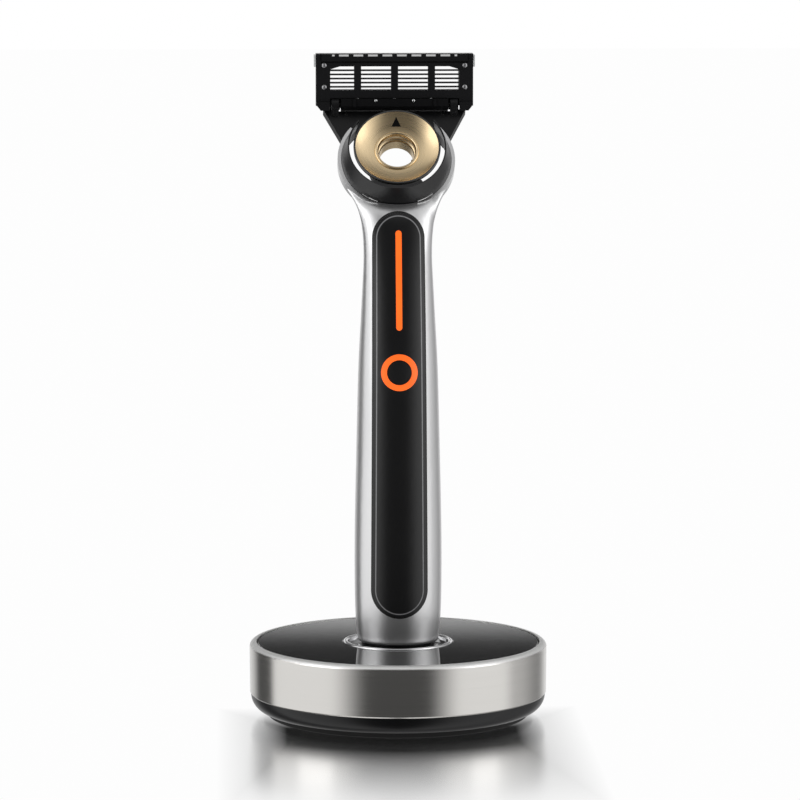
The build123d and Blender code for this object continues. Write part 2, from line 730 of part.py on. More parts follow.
# ================================================================ heater carrier
PEG_Y = 24.4
PEG_R = 0.5
CARRIER_TOP = PIVOT_Z + 1.8
CARRIER_LIP_TOP = PIVOT_Z + 0.2
CARRIER_BOTTOM = PIVOT_Z - 1.9
CARRIER_BACK = 22.2
LIP_BACK = 25.9
LIP_FRONT = 27.5
BRACE_X = 11.1
with BuildPart() as heater_carrier:
    with BuildSketch(Plane.YZ):
        with BuildLine():
            Polyline(
                (CARRIER_BACK, PIVOT_Z - 0.2), (CARRIER_BACK + 0.4, CARRIER_TOP),
                (LIP_BACK, CARRIER_TOP), (LIP_BACK, CARRIER_LIP_TOP), (LIP_FRONT, CARRIER_LIP_TOP),
                (LIP_FRONT, CARRIER_BOTTOM), (25.6, CARRIER_BOTTOM), (23.6, PIVOT_Z - 1.3),
                close=True,
            )
        make_face()
    extrude(amount=CARRIER_HALF_W, both=True)
    for side in (-1, 1):
        with BuildSketch(Plane.YZ.offset(side * BRACE_X)):
            with BuildLine():
                Polyline(
                    (CARRIER_BACK - 0.5, PIVOT_Z - 0.2), (CARRIER_BACK + 0.1, CARRIER_TOP),
                    (CARRIER_BACK + 1.0, CARRIER_TOP), (CARRIER_BACK + 1.0, PIVOT_Z - 0.6),
                    close=True,
                )
            make_face()
        extrude(amount=0.4, both=True)
    with BuildSketch(Plane.YZ):
        with Locations((PIVOT_Y, PIVOT_Z)):
            Circle(PIN_R)
    extrude(amount=CARRIER_HALF_W + 1, both=True, mode=Mode.SUBTRACT)
    with BuildSketch(Plane.XY.offset(CARRIER_TOP)):
        with GridLocations(RIB_PITCH, 1, 3, 1):
            with Locations((0, PEG_Y)):
                Circle(PEG_R)
    extrude(amount=-0.7, mode=Mode.SUBTRACT)

with BuildPart() as warming_bar:
    with BuildSketch(Plane.YZ):
        with Locations((LIP_FRONT + 0.45, PIVOT_Z - 0.85)):
            RectangleRounded(0.9, 2.1, 0.35)
    extrude(amount=CARRIER_HALF_W - 0.3, both=True)

with BuildPart() as heater_pad:
    with BuildSketch(Plane.XZ.offset(-LIP_BACK)):
        with Locations((0, PIVOT_Z + 1.0)):
            Rectangle(2 * CARRIER_HALF_W - 6, 1.2)
    extrude(amount=-0.2)

with BuildPart() as pivot_pins:
    with BuildSketch(Plane.YZ):
        with Locations((PIVOT_Y, PIVOT_Z)):
            Circle(PIN_R)
    extrude(amount=EAR_X + EAR_T, both=True)

with BuildPart() as latch_pegs:
    with BuildSketch(Plane.XY.offset(CARRIER_TOP - 0.7)):
        with GridLocations(RIB_PITCH, 1, 3, 1):
            with Locations((0, PEG_Y)):
                Circle(PEG_R)
    extrude(amount=2.7)

# ================================================================ cartridge
PLATE_BOTTOM = CARRIER_TOP + 0.15
RAIL_BOTTOM = PIVOT_Z + 0.4
RAIL_END_BOTTOM = PIVOT_Z - 1.4
TRIMMER_Z = CART_TOP - 1.0     # middle of the trimmer guard's height
TRIMMER_SEAT = CART_TOP - 1.65
TRIMMER_HALF_W = 20.4
RAIL_BACK = 26.2
CHEEK_INNER = 17.8
RAIL_END_INNER = CARRIER_HALF_W + 0.2
with BuildPart() as blade_frame:
    with BuildSketch(Plane.XZ.offset(-CART_BACK)):
        with BuildLine():
            Polyline(
                (-CART_HALF_W, CHEEK_BOTTOM), (-CHEEK_INNER, CHEEK_BOTTOM),
                (-CHEEK_INNER, PLATE_BOTTOM), (CHEEK_INNER, PLATE_BOTTOM),
                (CHEEK_INNER, CHEEK_BOTTOM), (CART_HALF_W, CHEEK_BOTTOM),
                (CART_HALF_W, CART_TOP), (-CART_HALF_W, CART_TOP), close=True,
            )
        make_face()
    extrude(amount=-(CART_FRONT - CART_BACK))
    window_h = WINDOW_TOP - WINDOW_BOTTOM
    with BuildSketch(Plane((0, CART_BACK, WINDOW_BOTTOM + window_h / 2),
                           x_dir=(1, 0, 0), z_dir=(0, -1, 0))):
        with BuildLine():
            Polyline(
                (-WINDOW_HALF_W, -window_h / 2), (WINDOW_HALF_W, -window_h / 2),
                (WINDOW_HALF_W, window_h / 2 - WINDOW_TAPER),
                (WINDOW_HALF_W - 2.6, window_h / 2), (2.6 - WINDOW_HALF_W, window_h / 2),
                (-WINDOW_HALF_W, window_h / 2 - WINDOW_TAPER), close=True,
            )
        make_face()
    extrude(amount=-(CART_FRONT - CART_BACK), mode=Mode.SUBTRACT)
    with BuildSketch(Plane((0, CART_BACK, WINDOW_BOTTOM + window_h / 2),
                           x_dir=(1, 0, 0), z_dir=(0, -1, 0))):
        with GridLocations(RIB_PITCH, 1, 3, 1):
            Rectangle(RIB_W, window_h + 0.6)
    extrude(amount=-1.9)
    with BuildSketch(Plane.XZ.offset(-RAIL_BACK)):
        with BuildLine():
            Polyline(
                (-CHEEK_INNER, RAIL_END_BOTTOM), (-RAIL_END_INNER, RAIL_END_BOTTOM),
                (-RAIL_END_INNER, RAIL_BOTTOM), (RAIL_END_INNER, RAIL_BOTTOM),
                (RAIL_END_INNER, RAIL_END_BOTTOM), (CHEEK_INNER, RAIL_END_BOTTOM),
                (CHEEK_INNER, PLATE_BOTTOM + 0.2), (-CHEEK_INNER, PLATE_BOTTOM + 0.2), close=True,
            )
        make_face()
    extrude(amount=-(CART_FRONT - RAIL_BACK))
    with BuildSketch(Plane.XY.offset(PLATE_BOTTOM)):
        with GridLocations(RIB_PITCH, 1, 3, 1):
            with Locations((0, PEG_Y)):
                Circle(PEG_R + 0.06)
    extrude(amount=2.2, mode=Mode.SUBTRACT)
    for side in (-1, 1):
        with BuildSketch(Plane.XZ.offset(0.8 - CART_BACK)):
            with BuildLine():
                Polyline(
                    (side * 17.9, PIVOT_Z - 1.45), (side * 20.4, PIVOT_Z - 1.45),
                    (side * (CART_HALF_W - 0.1), PIVOT_Z + 0.1),
                    (side * (CART_HALF_W - 0.1), PIVOT_Z + 0.9), (side * 17.9, PIVOT_Z + 0.9),
                    close=True,
                )
            make_face()
        extrude(amount=-0.9)
    with BuildSketch(Plane.XZ.offset(-CART_BACK)):
        with Locations((0, TRIMMER_Z)):
            Rectangle(2 * TRIMMER_HALF_W, 3.0)
    extrude(amount=-0.6, mode=Mode.SUBTRACT)
    with BuildSketch(Plane.XZ.offset(-CART_BACK)):
        with Locations((0, TRIMMER_SEAT + 1.0)):
            Rectangle(2 * TRIMMER_HALF_W, 2.0)
    extrude(amount=-1.7, mode=Mode.SUBTRACT)

BLADE_END = 18.2
first_blade_z = WINDOW_BOTTOM + 0.55
blade_profile = ((26.3, 0), (27.4, 0), (28.3, 0.22))
with BuildPart() as blade_slots:
    for index in range(BLADE_COUNT):
        level = first_blade_z + index * BLADE_PITCH
        with BuildSketch(Plane.YZ):
            with BuildLine():
                blade_line = Polyline(*((y, level + z) for y, z in blade_profile))
            trace(blade_line, BLADE_T)
        extrude(amount=BLADE_END, both=True)
with BuildPart() as blade_frame_cut:
    add(blade_frame.part)
    add(blade_slots.part, mode=Mode.SUBTRACT)
blade_frame = blade_frame_cut

blades = {}
for index in range(BLADE_COUNT):
    level = first_blade_z + index * BLADE_PITCH
    with BuildPart() as blade:
        with BuildSketch(Plane.YZ):
            with BuildLine():
                blade_line = Polyline(*((y, level + z) for y, z in blade_profile))
            trace(blade_line, BLADE_T)
        extrude(amount=BLADE_END, both=True)
    blades[f"blade_{index + 1}"] = blade

CLIP_T = 0.5
CLIP_H = 3.2
CLIP_Z = CART_TOP - 2.0
with BuildPart() as blade_clips:
    for side in (-1, 1):
        with BuildSketch(Plane.XY.offset(CLIP_Z - CLIP_H / 2)):
            with BuildLine():
                clip_line = Polyline(
                    (side * 18.0, CART_FRONT + CLIP_T / 2),
                    (side * (CART_HALF_W + CLIP_T / 2), CART_FRONT + CLIP_T / 2),
                    (side * (CART_HALF_W + CLIP_T / 2), CART_BACK + 0.1),
                )
            trace(clip_line, CLIP_T)
            with Locations((side * (CART_HALF_W + CLIP_T / 2), CART_BACK + 0.1)):
                Circle(CLIP_T / 2)
        extrude(amount=CLIP_H)
        with BuildSketch(Plane.XZ.offset(-CART_FRONT)):
            with Locations((side * 18.6, (WINDOW_BOTTOM + WINDOW_TOP) / 2)):
                Rectangle(1.3, WINDOW_TOP - WINDOW_BOTTOM + 4.0)
        extrude(amount=-0.35)

with BuildPart() as lubricating_strip:
    with BuildSketch(Plane.YZ):
        with Locations((CART_FRONT + 0.4, CART_TOP - 2.0)):
            RectangleRounded(0.8, 2.6, 0.35)
    extrude(amount=17.2, both=True)

FIN_COUNT = 4
FINS_Z = WINDOW_BOTTOM - 1.6
with BuildPart() as guard_fins:
    with BuildSketch(Plane.XZ.offset(-CART_FRONT)):
        with Locations((0, FINS_Z)):
            Rectangle(28.0, 2.0)
    extrude(amount=-0.25)
    with BuildSketch(Plane.XZ.offset(-CART_FRONT - 0.25)):
        with Locations((0, FINS_Z)):
            with GridLocations(1, 0.5, 1, FIN_COUNT):
                Rectangle(28.0, 0.22)
    extrude(amount=-0.4)

DASH_COUNT = 8
DASH_PITCH = 4.0
DASH_L = 2.65
DASH_END_X = 16.9
with BuildPart() as trimmer_guard:
    with BuildSketch(Plane.XZ.offset(-CART_BACK + 0.5)):
        with Locations((0, TRIMMER_Z)):
            Rectangle(2 * TRIMMER_HALF_W - 0.4, 2.0)
        with Locations((0, CART_TOP - 0.45)):
            with GridLocations(DASH_PITCH, 1, DASH_COUNT, 1):
                Rectangle(DASH_L, 0.55, mode=Mode.SUBTRACT)
            with GridLocations(2 * DASH_END_X, 1, 2, 1):
                Rectangle(0.7, 0.5, mode=Mode.SUBTRACT)
    extrude(amount=-0.7)

with BuildPart() as trimmer_blade:
    with BuildSketch(Plane.YZ):
        with BuildLine():
            trimmer_line = Line((CART_BACK + 0.4, TRIMMER_SEAT + 0.15),
                                (CART_BACK + 1.45, CART_TOP - 0.1))
        trace(trimmer_line, 0.22)
    extrude(amount=TRIMMER_HALF_W - 1.0, both=True)

# ================================================================ export
PIECES = {
    "dock_foot_ring": dock_foot_ring,
    "dock_base_pan": dock_base_pan,
    "dock_steel_band": dock_steel_band,
    "dock_top_cover": dock_top_cover,
    "dock_seat_ring": dock_seat_ring,
    "dock_well_cup": dock_well_cup,
    "dock_ballast_plate": dock_ballast_plate,
    "dock_coil_core": dock_coil_core,
    "dock_charge_coil": dock_charge_coil,
    "dock_seat_magnets": dock_seat_magnets,
    "dock_circuit_board": dock_circuit_board,
    "dock_board_chips": dock_board_chips,
    "dock_power_socket": dock_power_socket,
    "dock_socket_contacts": dock_socket_contacts,
    "dock_base_screws": dock_base_screws,
    "handle_shell": handle_shell,
    "front_panel": front_panel,
    "panel_gasket": panel_gasket,
    "light_strip": light_strip,
    "button_light_ring": button_light_ring,
    "button_switch": button_switch,
    "control_board": control_board,
    "board_components": board_components,
    "led_board": led_board,
    "indicator_leds": indicator_leds,
    "battery_cell": battery_cell,
    "battery_tabs": battery_tabs,
    "inner_chassis": inner_chassis,
    "end_cap": end_cap,
    "end_cap_seal": end_cap_seal,
    "handle_charge_coil": handle_charge_coil,
    "handle_coil_core": handle_coil_core,
    "docking_plate": docking_plate,
    "chassis_screws": chassis_screws,
    "neck_collar": neck_collar,
    "collar_bridge": collar_bridge,
    "collar_trim": collar_trim,
    "power_button": power_button,
    "disc_hub": disc_hub,
    "gold_dish": gold_dish,
    "direction_mark": direction_mark,
    "hub_magnets": hub_magnets,
    "rear_yoke": rear_yoke,
    "yoke_rivets": yoke_rivets,
    "heater_carrier": heater_carrier,
    "warming_bar": warming_bar,
    "heater_pad": heater_pad,
    "pivot_pins": pivot_pins,
    "latch_pegs": latch_pegs,
    "blade_frame": blade_frame,
    "blade_clips": blade_clips,
    "lubricating_strip": lubricating_strip,
    "guard_fins": guard_fins,
    "trimmer_guard": trimmer_guard,
    "trimmer_blade": trimmer_blade,
    **blades,
}

for name, piece in PIECES.items():
    piece.part.label = name
    export_step(piece.part, f"parts/{name}.step")
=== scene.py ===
import json
import math

import bpy
from bpy.props import FloatProperty, FloatVectorProperty, PointerProperty
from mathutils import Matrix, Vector


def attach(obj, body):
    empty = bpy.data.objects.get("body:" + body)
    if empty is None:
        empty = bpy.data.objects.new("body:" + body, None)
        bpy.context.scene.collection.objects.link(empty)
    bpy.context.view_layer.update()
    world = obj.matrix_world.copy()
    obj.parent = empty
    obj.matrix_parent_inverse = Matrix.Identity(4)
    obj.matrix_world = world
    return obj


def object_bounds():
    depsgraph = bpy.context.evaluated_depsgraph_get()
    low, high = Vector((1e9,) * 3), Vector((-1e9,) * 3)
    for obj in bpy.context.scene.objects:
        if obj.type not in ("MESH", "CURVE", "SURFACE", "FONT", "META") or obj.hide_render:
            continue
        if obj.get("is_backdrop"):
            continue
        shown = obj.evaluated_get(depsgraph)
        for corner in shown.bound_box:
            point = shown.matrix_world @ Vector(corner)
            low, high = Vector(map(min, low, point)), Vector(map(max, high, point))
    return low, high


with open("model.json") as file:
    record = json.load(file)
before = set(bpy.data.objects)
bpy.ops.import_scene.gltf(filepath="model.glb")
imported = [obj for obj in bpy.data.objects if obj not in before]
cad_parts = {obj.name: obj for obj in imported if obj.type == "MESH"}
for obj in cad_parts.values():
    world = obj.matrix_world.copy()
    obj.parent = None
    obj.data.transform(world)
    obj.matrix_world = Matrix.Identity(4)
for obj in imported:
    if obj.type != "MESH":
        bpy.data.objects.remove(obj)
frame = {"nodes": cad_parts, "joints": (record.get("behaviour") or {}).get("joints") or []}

bl_info = {
    "name": "Heated razor in its dock",
    "version": (1, 0, 0),
    "blender": (4, 5, 0),
    "location": "3D View > Sidebar > Razor",
    "description": "Finishes, small fittings and the studio for a heated cartridge razor",
    "category": "Object",
}


def named_joint(name):
    """The frame's joint of this name."""
    return next(joint for joint in frame["joints"] if joint["name"] == name)


# The tilted disc's axis and centre, read from the joint that it rocks on.
DISC_JOINT = named_joint("disc_rock")
DISC_CENTRE = Vector(DISC_JOINT["pos_m"])
DISC_NORMAL = Vector(DISC_JOINT["axis"]).normalized()
DISC_TILT = math.atan2(DISC_NORMAL.z, -DISC_NORMAL.y)
# The pivot that the cartridge tilts on.
PIVOT = Vector(named_joint("cartridge_tilt")["pos_m"])


# ---------------------------------------------------------------- settings
class RazorFinishSettings(bpy.types.PropertyGroup):
    """Colours and scales of the finishes that a user would change."""
    silver_color: FloatVectorProperty(
        name="Silver", description="Satin silver of the handle", subtype="COLOR",
        default=(0.74, 0.74, 0.745), min=0, max=1)
    steel_color: FloatVectorProperty(
        name="Steel band", description="Brushed steel band of the dock", subtype="COLOR",
        default=(0.66, 0.645, 0.62), min=0, max=1)
    gold_color: FloatVectorProperty(
        name="Gold disc", description="Champagne gold of the tilted disc", subtype="COLOR",
        default=(0.83, 0.65, 0.40), min=0, max=1)
    light_color: FloatVectorProperty(
        name="Indicator light", description="Lit orange of the strip and the button ring",
        subtype="COLOR", default=(1.0, 0.13, 0.012), min=0, max=1)
    light_strength: FloatProperty(
        name="Light strength", description="Glow of the indicator lights", default=0.62,
        min=0, max=5)
    brush_pitch: FloatProperty(
        name="Brush pitch", description="Spacing of the brushed grooves", default=0.00012,
        min=0.00002, max=0.002, unit="LENGTH")


class RazorStageSettings(bpy.types.PropertyGroup):
    """The camera and the studio light."""
    azimuth: FloatProperty(
        name="Azimuth", description="Camera angle round the razor", default=math.radians(-2.3),
        subtype="ANGLE")
    elevation: FloatProperty(
        name="Elevation", description="Camera angle above the horizon", default=math.radians(7.0),
        subtype="ANGLE")
    distance: FloatProperty(
        name="Distance", description="Camera to the middle of the razor", default=1.25,
        unit="LENGTH")
    aim_height: FloatProperty(
        name="Aim height", description="Height that the camera looks at", default=0.0870,
        unit="LENGTH")
    lens: FloatProperty(name="Lens", description="Focal length in millimetres", default=206.0)
    key_power: FloatProperty(name="Key power", description="Left lamp in watts", default=1.1)
    fill_power: FloatProperty(name="Fill power", description="Right lamp in watts", default=0.7)
    top_power: FloatProperty(name="Top power", description="Overhead lamp in watts", default=3.4)


# ---------------------------------------------------------------- node helpers
def new_group(name, inputs, outputs):
    """An empty shader group with float and vector sockets. Inputs are (name, type, default)."""
    group = bpy.data.node_groups.new(name, "ShaderNodeTree")
    for socket_name, socket_type, default in inputs:
        socket = group.interface.new_socket(socket_name, in_out="INPUT", socket_type=socket_type)
        if default is not None:
            socket.default_value = default
    for socket_name, socket_type in outputs:
        group.interface.new_socket(socket_name, in_out="OUTPUT", socket_type=socket_type)
    return group, group.nodes.new("NodeGroupInput"), group.nodes.new("NodeGroupOutput")


def feed(tree, socket, value):
    """Links a socket to an input, or sets the input to a constant."""
    if isinstance(value, bpy.types.NodeSocket):
        tree.links.new(value, socket)
    else:
        socket.default_value = value


def math_node(tree, operation, *values):
    """A Math node whose inputs are sockets or numbers. Returns its output."""
    node = tree.nodes.new("ShaderNodeMath")
    node.operation = operation
    for socket, value in zip(node.inputs, values):
        feed(tree, socket, value)
    return node.outputs[0]


def length_of(tree, first, second):
    """The length of a flat vector with these two parts."""
    squares = [math_node(tree, "POWER", part, 2.0) for part in (first, second)]
    return math_node(tree, "SQRT", math_node(tree, "ADD", *squares))


def split_vector(tree, vector):
    """The outputs X, Y and Z of a vector socket."""
    node = tree.nodes.new("ShaderNodeSeparateXYZ")
    tree.links.new(vector, node.inputs[0])
    return node.outputs


def mix_node(tree, factor, first, second, data_type="RGBA", blend_type="MIX"):
    """A Mix node of colours or values, each a constant or a socket. Returns its result."""
    node = tree.nodes.new("ShaderNodeMix")
    node.data_type = data_type
    node.blend_type = blend_type
    for name, value in (("Factor", factor), ("A", first), ("B", second)):
        feed(tree, node.inputs[name], value)
    return node.outputs["Result"]


def noise_node(tree, vector, scale, detail=3.0, roughness=0.55):
    """A Noise texture on a vector socket. Scale is a number or a socket. Returns its factor."""
    node = tree.nodes.new("ShaderNodeTexNoise")
    node.inputs["Detail"].default_value = detail
    node.inputs["Roughness"].default_value = roughness
    feed(tree, node.inputs["Scale"], scale)
    tree.links.new(vector, node.inputs["Vector"])
    return node.outputs["Fac"]


def spread(tree, value, source, result):
    """Maps a range of a socket to another range, held at its ends."""
    node = tree.nodes.new("ShaderNodeMapRange")
    tree.links.new(value, node.inputs["Value"])
    for name, bound in zip(("From Min", "From Max", "To Min", "To Max"), (*source, *result)):
        node.inputs[name].default_value = bound
    return node.outputs[0]


def make_grain_group():
    """Fine moulded or blasted grain: a height and a slow cloud for colour and roughness."""
    group, start, end = new_group(
        "fine_grain",
        [("Vector", "NodeSocketVector", None), ("Grain Scale", "NodeSocketFloat", 9000.0),
         ("Cloud Scale", "NodeSocketFloat", 60.0)],
        [("Height", "NodeSocketFloat"), ("Cloud", "NodeSocketFloat")],
    )
    vector = start.outputs["Vector"]
    grain = noise_node(group, vector, start.outputs["Grain Scale"], detail=2.0)
    cloud = noise_node(group, vector, start.outputs["Cloud Scale"], detail=4.0)
    group.links.new(grain, end.inputs["Height"])
    group.links.new(cloud, end.inputs["Cloud"])
    return group


STREAK_SCALE = 0.16     # long streaks against the grooves


def make_brush_group():
    """Grooves turned about the local Z axis, from radius and height, with long soft streaks."""
    group, start, end = new_group(
        "turned_brush",
        [("Vector", "NodeSocketVector", None), ("Pitch", "NodeSocketFloat", 0.00012),
         ("Streak", "NodeSocketFloat", 2.0)],
        [("Height", "NodeSocketFloat"), ("Streaks", "NodeSocketFloat")],
    )
    place = split_vector(group, start.outputs["Vector"])
    radius = length_of(group, place["X"], place["Y"])
    angle = math_node(group, "ARCTAN2", place["Y"], place["X"])
    joined = group.nodes.new("ShaderNodeCombineXYZ")
    for name, value in (
            ("X", math_node(group, "DIVIDE", radius, start.outputs["Pitch"])),
            ("Y", math_node(group, "DIVIDE", place["Z"], start.outputs["Pitch"])),
            ("Z", math_node(group, "MULTIPLY", angle, start.outputs["Streak"]))):
        group.links.new(value, joined.inputs[name])
    fine = noise_node(group, joined.outputs[0], 1.0, detail=2.0)
    broad = noise_node(group, joined.outputs[0], STREAK_SCALE, detail=3.0)
    group.links.new(fine, end.inputs["Height"])
    group.links.new(broad, end.inputs["Streaks"])
    return group


SCRATCH_WAVE = {"Scale": 900.0, "Distortion": 14.0, "Detail": 3.0}


def make_handling_group():
    """Slow smudges and faint fine scratches that handling leaves on a gloss surface."""
    group, start, end = new_group(
        "handling_marks",
        [("Vector", "NodeSocketVector", None), ("Smudge Scale", "NodeSocketFloat", 45.0)],
        [("Smudge", "NodeSocketFloat"), ("Scratch", "NodeSocketFloat")],
    )
    smudge = noise_node(group, start.outputs["Vector"], start.outputs["Smudge Scale"],
                        detail=5.0, roughness=0.6)
    wave = group.nodes.new("ShaderNodeTexWave")
    for name, value in SCRATCH_WAVE.items():
        wave.inputs[name].default_value = value
    group.links.new(start.outputs["Vector"], wave.inputs["Vector"])
    group.links.new(smudge, end.inputs["Smudge"])
    group.links.new(wave.outputs["Fac"], end.inputs["Scratch"])
    return group


def place_group(tree, name, vector, **values):
    """Adds a shared group to a material, made the first time that it is used."""
    node = tree.nodes.new("ShaderNodeGroup")
    node.node_tree = bpy.data.node_groups.get(name) or GROUP_MAKERS[name]()
    tree.links.new(vector, node.inputs["Vector"])
    for key, value in values.items():
        node.inputs[key.replace("_", " ")].default_value = value
    return node


def new_material(name, color, **sockets):
    """A Principled material. Returns (material, tree, shader, object coordinates)."""
    material = bpy.data.materials.new(name)
    material.use_nodes = True
    tree = material.node_tree
    shader = tree.nodes["Principled BSDF"]
    shader.inputs["Base Color"].default_value = (*color, 1.0)
    for key, value in sockets.items():
        shader.inputs[key.replace("_", " ")].default_value = value
    coords = tree.nodes.new("ShaderNodeTexCoord").outputs["Object"]
    return material, tree, shader, coords


def vary_color(tree, shader, mask, dark, light):
    """Base Color runs from dark to light with a mask."""
    tree.links.new(mix_node(tree, mask, (*dark, 1.0), (*light, 1.0)),
                   shader.inputs["Base Color"])


def vary_roughness(tree, shader, mask, low, high):
    """Roughness runs from low to high with a mask."""
    tree.links.new(spread(tree, mask, (0.0, 1.0), (low, high)), shader.inputs["Roughness"])


def lay_tint(tree, shader, mask, color):
    """A second colour over the Base Color, where a mask says."""
    below = shader.inputs["Base Color"].links[0].from_socket
    tree.links.new(mix_node(tree, mask, below, (*color, 1.0)), shader.inputs["Base Color"])


def add_bump(tree, shader, height, strength, distance):
    """A Bump node on the shader."""
    bump = tree.nodes.new("ShaderNodeBump")
    bump.inputs["Strength"].default_value = strength
    bump.inputs["Distance"].default_value = distance
    tree.links.new(height, bump.inputs["Height"])
    tree.links.new(bump.outputs["Normal"], shader.inputs["Normal"])


def scaled(color, factor):
    """A colour made darker or lighter."""
    return tuple(min(1.0, channel * factor) for channel in color)


# ---------------------------------------------------------------- materials
# How far each kind of finish varies: its roughness, then its colour, from low to high.
PLASTIC_SHEEN, PLASTIC_SHADES = (0.85, 1.15), (0.85, 1.2)
GLOSS_SHEEN, GLOSS_SHADES = (0.6, 1.6), (0.8, 1.25)
METAL_SHEEN, METAL_SHADES = (0.7, 1.4), (0.92, 1.04)
BRUSHED_SHEEN, BRUSHED_SHADES = (0.7, 1.35), (0.86, 1.1)
# How deep the finest relief of a finish is, in metres.
GRAIN_DEPTH, GROOVE_DEPTH, SCRATCH_DEPTH = 0.00003, 0.00002, 0.00001


def moulded(name, color, roughness, grain=7000.0, bump=0.12, **sockets):
    """Moulded plastic or rubber: fine grain, slow colour change and uneven sheen."""
    material, tree, shader, coords = new_material(name, color, **sockets)
    grain_node = place_group(tree, "fine_grain", coords, Grain_Scale=grain, Cloud_Scale=70.0)
    cloud = grain_node.outputs["Cloud"]
    vary_roughness(tree, shader, cloud, *(roughness * sheen for sheen in PLASTIC_SHEEN))
    vary_color(tree, shader, cloud, *(scaled(color, shade) for shade in PLASTIC_SHADES))
    add_bump(tree, shader, grain_node.outputs["Height"], bump, GRAIN_DEPTH)
    return material


def polished_black(name, color, roughness):
    """Piano gloss: a deep base under a clear coat, with faint smudges."""
    material, tree, shader, coords = new_material(
        name, color, Coat_Weight=0.6, Coat_Roughness=0.03, Specular_IOR_Level=0.5)
    marks = place_group(tree, "handling_marks", coords, Smudge_Scale=38.0)
    smudge = marks.outputs["Smudge"]
    vary_roughness(tree, shader, smudge, *(roughness * sheen for sheen in GLOSS_SHEEN))
    vary_color(tree, shader, smudge, *(scaled(color, shade) for shade in GLOSS_SHADES))
    add_bump(tree, shader, marks.outputs["Scratch"], 0.02, SCRATCH_DEPTH)
    return material


def polished_metal(name, color, roughness):
    """Plated or ground metal with faint handling marks."""
    material, tree, shader, coords = new_material(name, color, Metallic=1.0)
    marks = place_group(tree, "handling_marks", coords, Smudge_Scale=120.0)
    smudge = marks.outputs["Smudge"]
    vary_roughness(tree, shader, smudge, *(roughness * sheen for sheen in METAL_SHEEN))
    vary_color(tree, shader, smudge, *(scaled(color, shade) for shade in METAL_SHADES))
    add_bump(tree, shader, marks.outputs["Scratch"], 0.03, SCRATCH_DEPTH)
    return material


def turned_metal(name, color, roughness, pitch, bump, tilt=0.0, centre=(0, 0, 0),
                 shades=BRUSHED_SHADES):
    """Metal brushed in rings about an axis that leans from +Z towards -Y by a tilt."""
    material, tree, shader, coords = new_material(name, color, Metallic=1.0)
    mapping = tree.nodes.new("ShaderNodeMapping")
    mapping.vector_type = "TEXTURE"
    mapping.inputs["Location"].default_value = centre
    mapping.inputs["Rotation"].default_value = (tilt, 0.0, 0.0)
    tree.links.new(coords, mapping.inputs["Vector"])
    brush = place_group(tree, "turned_brush", mapping.outputs[0], Pitch=pitch)
    streaks = brush.outputs["Streaks"]
    vary_roughness(tree, shader, streaks, *(roughness * sheen for sheen in BRUSHED_SHEEN))
    vary_color(tree, shader, streaks, *(scaled(color, shade) for shade in shades))
    add_bump(tree, shader, brush.outputs["Height"], bump, GROOVE_DEPTH)
    return material


# The band's rim: the heights between which it begins, its roughness and the colour of the
# highlight painted on it.
RIM_HEIGHTS = (0.0193, 0.0199)
RIM_ROUGHNESS = 0.55
RIM_HIGHLIGHT_COLOR = (0.95, 0.95, 0.94)


def rimmed_band(name, color, pitch):
    """The brushed band, with a softer rim round its top edge that has a highlight painted on it in
    a paler colour.
    """
    material = turned_metal(name, color, 0.17, pitch, bump=0.06, shades=(0.96, 1.03))
    tree = material.node_tree
    shader = tree.nodes["Principled BSDF"]
    height = split_vector(tree, tree.nodes.new("ShaderNodeTexCoord").outputs["Object"])["Z"]
    rim = spread(tree, height, RIM_HEIGHTS, (0.0, 1.0))
    sheen = math_node(tree, "MAXIMUM", shader.inputs["Roughness"].links[0].from_socket,
                      math_node(tree, "MULTIPLY", rim, RIM_ROUGHNESS))
    tree.links.new(sheen, shader.inputs["Roughness"])
    # paint the rim's highlight in a paler colour
    lay_tint(tree, shader, rim, RIM_HIGHLIGHT_COLOR)
    return material


def satin_silver(name, color):
    """Fine blasted satin metal paint of the handle."""
    material, tree, shader, coords = new_material(
        name, color, Metallic=0.92, Coat_Weight=0.15, Coat_Roughness=0.12)
    grain = place_group(tree, "fine_grain", coords, Grain_Scale=11000.0, Cloud_Scale=35.0)
    cloud = grain.outputs["Cloud"]
    vary_roughness(tree, shader, cloud, 0.27, 0.34)
    vary_color(tree, shader, cloud, scaled(color, 0.96), scaled(color, 1.03))
    add_bump(tree, shader, grain.outputs["Height"], 0.10, GRAIN_DEPTH)
    return material


def lit_plastic(name, color, strength):
    """Translucent light guide, its glow warmer in slow patches."""
    material, tree, shader, coords = new_material(
        name, color, Roughness=0.3, Coat_Weight=0.3, Emission_Strength=strength)
    grain = place_group(tree, "fine_grain", coords, Grain_Scale=2500.0, Cloud_Scale=160.0)
    cloud = grain.outputs["Cloud"]
    warm = (1.0, color[1] * 1.5, color[2] * 2.0)
    glow = mix_node(tree, cloud, (*scaled(color, 0.9), 1.0), (*warm, 1.0))
    tree.links.new(glow, shader.inputs["Emission Color"])
    vary_color(tree, shader, cloud, scaled(color, 0.8), color)
    add_bump(tree, shader, grain.outputs["Height"], 0.05, GROOVE_DEPTH)
    return material


# The front panel's outline: a tall slot that narrows upwards, and the colour of the highlight
# painted just inside it.
PANEL_LOW_R, PANEL_HIGH_R = 0.0073, 0.0067
PANEL_LOW_Z, PANEL_HIGH_Z = 0.0361, 0.1316
PANEL_HIGHLIGHT_COLOR = (0.32, 0.32, 0.33)


